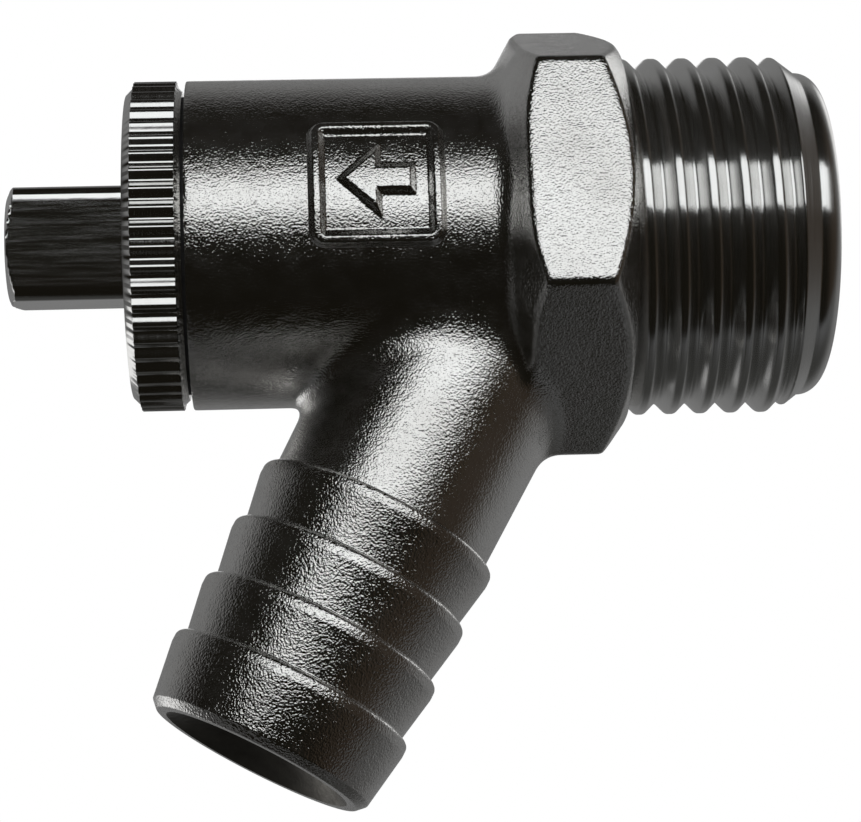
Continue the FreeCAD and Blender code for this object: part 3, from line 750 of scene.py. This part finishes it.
def plain_finish(name, metallic, stain, tones, scuffs, roughness, pits, depth):
    """An evenly finished material. Stain, scuffs and pits each give a noise's scale and detail."""
    material, tree, shader = new_material(name)
    shader.inputs["Metallic"].default_value = metallic
    tint(tree, noise_on(tree, *stain), shader.inputs["Base Color"], *tones)
    spread(tree, noise_on(tree, *scuffs), shader.inputs["Roughness"], *roughness)
    bumps(tree, shader, [(noise_on(tree, *pits), depth)])
    return material


def wear(piece, material):
    piece.data.materials.clear()
    piece.data.materials.append(material)


def line_rows(piece, material, first, last, turns):
    """Gives another material to the faces between two rows of a piece made of rings."""
    piece.data.materials.append(material)
    for face in piece.data.polygons[first * turns:last * turns]:
        face.material_index = 1


def add_piece(piece, body, material, node):
    wear(piece, material)
    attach(piece, body)
    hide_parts(node)


# Photograph's view, with lengths in metres, and the lens and sensor in millimetres
VIEW_AZIMUTH = math.radians(-3.141)
VIEW_ELEVATION = math.radians(-16.21)
VIEW_ROLL = math.radians(-2.222)
VIEW_DISTANCE = 0.149085
VIEW_AIM = Vector((-0.011345, 0, -0.010379))
VIEW_LENS = 107.895
VIEW_SENSOR = 36
VIEW_CLIP = 0.01


def direction(azimuth, elevation):
    """Unit vector towards a place round the object, by its angle right of the front and above."""
    flat = math.cos(elevation)
    return Vector((math.sin(azimuth) * flat, -math.cos(azimuth) * flat, math.sin(elevation)))


def facing(back, roll=0.0):
    """A rotation whose local Z points back towards the viewer, with its X level before the roll."""
    right = Vector((0, 0, 1)).cross(back).normalized()
    up = back.cross(right)
    side = math.cos(roll) * right + math.sin(roll) * up
    top = -math.sin(roll) * right + math.cos(roll) * up
    return Matrix((side, top, back)).transposed().to_4x4()


def make_camera():
    camera = bpy.data.objects.new("camera", bpy.data.cameras.new("camera"))
    back = direction(VIEW_AZIMUTH, VIEW_ELEVATION)
    camera.matrix_world = Matrix.Translation(VIEW_AIM + back * VIEW_DISTANCE) @ facing(back, VIEW_ROLL)
    camera.data.lens = VIEW_LENS
    camera.data.sensor_width = VIEW_SENSOR
    camera.data.clip_start = VIEW_CLIP
    bpy.context.scene.collection.objects.link(camera)
    bpy.context.scene.camera = camera


# Softbox in front of the object, with lengths in metres
LAMP_AZIMUTH = math.radians(9)
LAMP_ELEVATION = math.radians(15.3)
LAMP_DISTANCE = 0.6
LAMP_WIDTH = 0.82
LAMP_HEIGHT = 0.34
LAMP_RADIANCE = 1.15
LAMP_COLOUR = (0.97, 0.99, 1.0)


def make_softbox():
    lamp = bpy.data.lights.new("softbox", "AREA")
    lamp.shape = "RECTANGLE"
    lamp.size = LAMP_WIDTH
    lamp.size_y = LAMP_HEIGHT
    lamp.energy = LAMP_RADIANCE * math.pi * LAMP_WIDTH * LAMP_HEIGHT
    lamp.color = LAMP_COLOUR
    softbox = bpy.data.objects.new("softbox", lamp)
    back = direction(LAMP_AZIMUTH, LAMP_ELEVATION)
    softbox.matrix_world = Matrix.Translation(VIEW_AIM + back * LAMP_DISTANCE) @ facing(back)
    bpy.context.scene.collection.objects.link(softbox)


# Colours of the studio that the metal sees
ROOM_DARK = (0.008, 0.007, 0.005)
ROOM_BROWN = (0.034, 0.026, 0.019)
BACKDROP_TOP = (0.2, 0.2, 0.2)
BACKDROP_FOOT = (0.045, 0.045, 0.043)
TABLE = (0.1, 0.101, 0.103)
WHITE = (1.0, 1.0, 1.0)
EVEN_LIGHT = 0.6

# Where each begins and is full, as parts of a unit vector to the right, to the back or up
BROWN_RIGHT = (0.45, 0.85)
TABLE_DOWN = (-0.3, -0.6)
TABLE_BACK = (-0.1, 0.06)
TABLE_ASIDE = (0.06, 0.24)
BACKDROP_UP = (-0.7, -0.05)
BACKDROP_BACK = (0.0, 0.6)

# How much further the backdrop comes round at the sides
BACKDROP_WRAP = 0.12

# White panels behind the object: the way to each, and the degrees its full part and soft edge reach
PANEL_ABOVE_VIEW = math.radians(6)
PAST_OBJECT = -direction(VIEW_AZIMUTH, VIEW_ELEVATION - PANEL_ABOVE_VIEW)
REAR_RIGHT = direction(math.radians(135), math.radians(28))
REAR_LEFT = direction(math.radians(-135), math.radians(-9))
WHITE_PANELS = (
    (PAST_OBJECT, 5, 11),
    (REAR_RIGHT, 10, 19),
    (REAR_LEFT, 10, 19),
)


def make_world():
    """White to the camera. Metal sees a grey backdrop with white panels, and a dim room in front."""
    world = bpy.data.worlds.new("studio")
    bpy.context.scene.world = world
    world.use_nodes = True
    tree = world.node_tree
    tree.nodes.clear()
    way = tree.nodes.new("ShaderNodeTexCoord")
    parts = tree.nodes.new("ShaderNodeSeparateXYZ")
    tree.links.new(way.outputs["Generated"], parts.inputs["Vector"])

    def share(value, low, high):
        span = tree.nodes.new("ShaderNodeMapRange")
        span.interpolation_type = "SMOOTHSTEP"
        span.inputs["From Min"].default_value = low
        span.inputs["From Max"].default_value = high
        tree.links.new(value, span.inputs["Value"])
        return span.outputs["Result"]

    def maths(operation, *values):
        node = tree.nodes.new("ShaderNodeMath")
        node.operation = operation
        for socket, value in zip(node.inputs, values):
            if isinstance(value, float):
                socket.default_value = value
            else:
                tree.links.new(value, socket)
        return node.outputs["Value"]

    def blend(factor, low, high):
        mix = tree.nodes.new("ShaderNodeMix")
        mix.data_type = "RGBA"
        tree.links.new(factor, mix.inputs["Factor"])
        for name, colour in (("A", low), ("B", high)):
            socket = next(s for s in mix.inputs if s.name == name and s.type == "RGBA")
            if isinstance(colour, tuple):
                socket.default_value = (*colour, 1)
            else:
                tree.links.new(colour, socket)
        return next(s for s in mix.outputs if s.type == "RGBA")

    across, behind, above = parts.outputs
    aside = maths("ABSOLUTE", across)
    room = blend(share(across, *BROWN_RIGHT), ROOM_DARK, ROOM_BROWN)
    beneath = maths("MULTIPLY", share(above, *TABLE_DOWN), share(behind, *TABLE_BACK))
    table = maths("MULTIPLY", beneath, share(aside, *TABLE_ASIDE))
    backdrop = blend(share(above, *BACKDROP_UP), BACKDROP_FOOT, BACKDROP_TOP)
    round_the_sides = maths("MULTIPLY_ADD", aside, BACKDROP_WRAP, behind)
    studio = blend(share(round_the_sides, *BACKDROP_BACK), blend(table, room, TABLE), backdrop)
    for middle, full, edge in WHITE_PANELS:
        towards = tree.nodes.new("ShaderNodeVectorMath")
        towards.operation = "DOT_PRODUCT"
        towards.inputs[1].default_value = middle
        tree.links.new(way.outputs["Generated"], towards.inputs[0])
        reach = (math.cos(math.radians(edge)), math.cos(math.radians(full)))
        studio = blend(share(towards.outputs["Value"], *reach), studio, WHITE)

    ray = tree.nodes.new("ShaderNodeLightPath")
    mirrored = maths("MAXIMUM", ray.outputs["Is Glossy Ray"], ray.outputs["Is Transmission Ray"])
    seen = tree.nodes.new("ShaderNodeBackground")
    tree.links.new(studio, seen.inputs["Color"])
    even = tree.nodes.new("ShaderNodeBackground")
    even.inputs["Strength"].default_value = EVEN_LIGHT
    even.inputs["Color"].default_value = (*WHITE, 1)
    white = tree.nodes.new("ShaderNodeBackground")
    white.inputs["Color"].default_value = (*WHITE, 1)

    def choose(factor, without, with_it):
        mix = tree.nodes.new("ShaderNodeMixShader")
        tree.links.new(factor, mix.inputs["Fac"])
        tree.links.new(without.outputs[0], mix.inputs[1])
        tree.links.new(with_it.outputs[0], mix.inputs[2])
        return mix

    lit = choose(mirrored, even, seen)
    out = tree.nodes.new("ShaderNodeOutputWorld")
    tree.links.new(choose(ray.outputs["Is Camera Ray"], lit, white).outputs[0], out.inputs["Surface"])


# Floor, with lengths in metres, and the light that lifts it towards white for the camera
FLOOR_DROP = 0.12
FLOOR_HALF = 1.5
FLOOR_COLOUR = (0.85, 0.85, 0.85)
FLOOR_ROUGHNESS = 0.9
FLOOR_LIFT = 0.5


def make_floor():
    """Plain pale floor that keeps the object's shadow. The metal sees the studio's own lower half."""
    corners = [(-1, -1), (1, -1), (1, 1), (-1, 1)]
    points = [(x * FLOOR_HALF / MM, y * FLOOR_HALF / MM, -FLOOR_DROP / MM) for x, y in corners]
    floor = new_piece("floor", points, [(0, 1, 2, 3)])
    material, tree, shader = new_material("floor")
    shader.inputs["Base Color"].default_value = (*FLOOR_COLOUR, 1)
    shader.inputs["Roughness"].default_value = FLOOR_ROUGHNESS
    shader.inputs["Emission Color"].default_value = (*WHITE, 1)
    ray = tree.nodes.new("ShaderNodeLightPath")
    lift = tree.nodes.new("ShaderNodeMath")
    lift.operation = "MULTIPLY"
    lift.inputs[1].default_value = FLOOR_LIFT
    tree.links.new(ray.outputs["Is Camera Ray"], lift.inputs[0])
    tree.links.new(lift.outputs[0], shader.inputs["Emission Strength"])
    floor.visible_glossy = False
    wear(floor, material)


make_camera()
make_softbox()
make_world()
make_floor()

# Tool lines a metre along each axis: round the main axis on turned faces, along it on milled ones
ROUND_LINES = (12000, 240, 240)
LONG_LINES = (250, 6000, 6000)

# Lines on the plain brass, as a noise's scale, detail and stretch
BRASS_LINES = (9000, 2, (1, 0.02, 0.02))

CAST = cast_plating("cast_plating", dimples=3.2e-5, roughness=0.11)
ROUGH_CAST = cast_plating("rough_plating", dimples=4.2e-5, roughness=0.08)
TURNED = turned_plating("turned_plating", ROUND_LINES, roughness=0.10)
THREADED = turned_plating("threaded_plating", ROUND_LINES, roughness=0.16, grain=0.95)
MILLED = turned_plating("milled_plating", LONG_LINES, roughness=0.06)
# Bore lining: its dark grey tones are painted shade, standing in for the shade inside the bores; its
# higher roughness is a dull finish
SHADED_BORE = plain_finish(
    "dull_bore", metallic=1,
    stain=(700, 3), tones=((0.10, 0.092, 0.08), (0.16, 0.15, 0.13)),
    scuffs=(2500, 3), roughness=(0.38, 0.5),
    pits=(5000, 2), depth=1e-5,
)
BRASS = plain_finish(
    "plain_brass", metallic=1,
    stain=(400, 4), tones=((0.62, 0.42, 0.16), (0.78, 0.57, 0.26)),
    scuffs=BRASS_LINES, roughness=(0.24, 0.36),
    pits=BRASS_LINES, depth=6e-6,
)
STEEL = plain_finish(
    "spring_steel", metallic=1,
    stain=(900, 3), tones=((0.42, 0.42, 0.43), (0.52, 0.52, 0.53)),
    scuffs=(2500, 3), roughness=(0.28, 0.42),
    pits=(6000, 3), depth=5e-6,
)
RUBBER = plain_finish(
    "seal_rubber", metallic=0,
    stain=(1200, 4), tones=((0.012, 0.012, 0.012), (0.028, 0.027, 0.026)),
    scuffs=(3000, 3), roughness=(0.55, 0.75),
    pits=(5000, 3), depth=1.5e-5,
)

add_piece(make_casting(), "housing", CAST, "valve_body")
add_piece(make_panel(), "housing", CAST, "valve_body")
barbs = make_barbs()
add_piece(barbs, "housing", ROUGH_CAST, "valve_body")
last_row = len(barbs.data.polygons) // TAIL_TURNS - 1
line_rows(barbs, SHADED_BORE, last_row - BARB_BORE_ROWS, last_row, TAIL_TURNS)
spigot = make_spigot()
add_piece(spigot, "housing", THREADED, "valve_body")
first_row = SPIGOT_ROWS + 1
line_rows(spigot, SHADED_BORE, first_row, first_row + SPIGOT_BORE_ROWS, SPIGOT_TURNS)
add_piece(make_bonnet(), "housing", TURNED, "bonnet")
add_piece(make_spindle(), "spindle", MILLED, "spindle")
for node, material in (
    ("bonnet_gasket", RUBBER),
    ("spindle_o_ring", RUBBER),
    ("seat_washer", RUBBER),
    ("jumper", BRASS),
    ("washer_nut", BRASS),
    ("jumper_ring", STEEL),
):
    wear(frame["nodes"][node], material)

bpy.context.scene.view_settings.view_transform = "Standard"
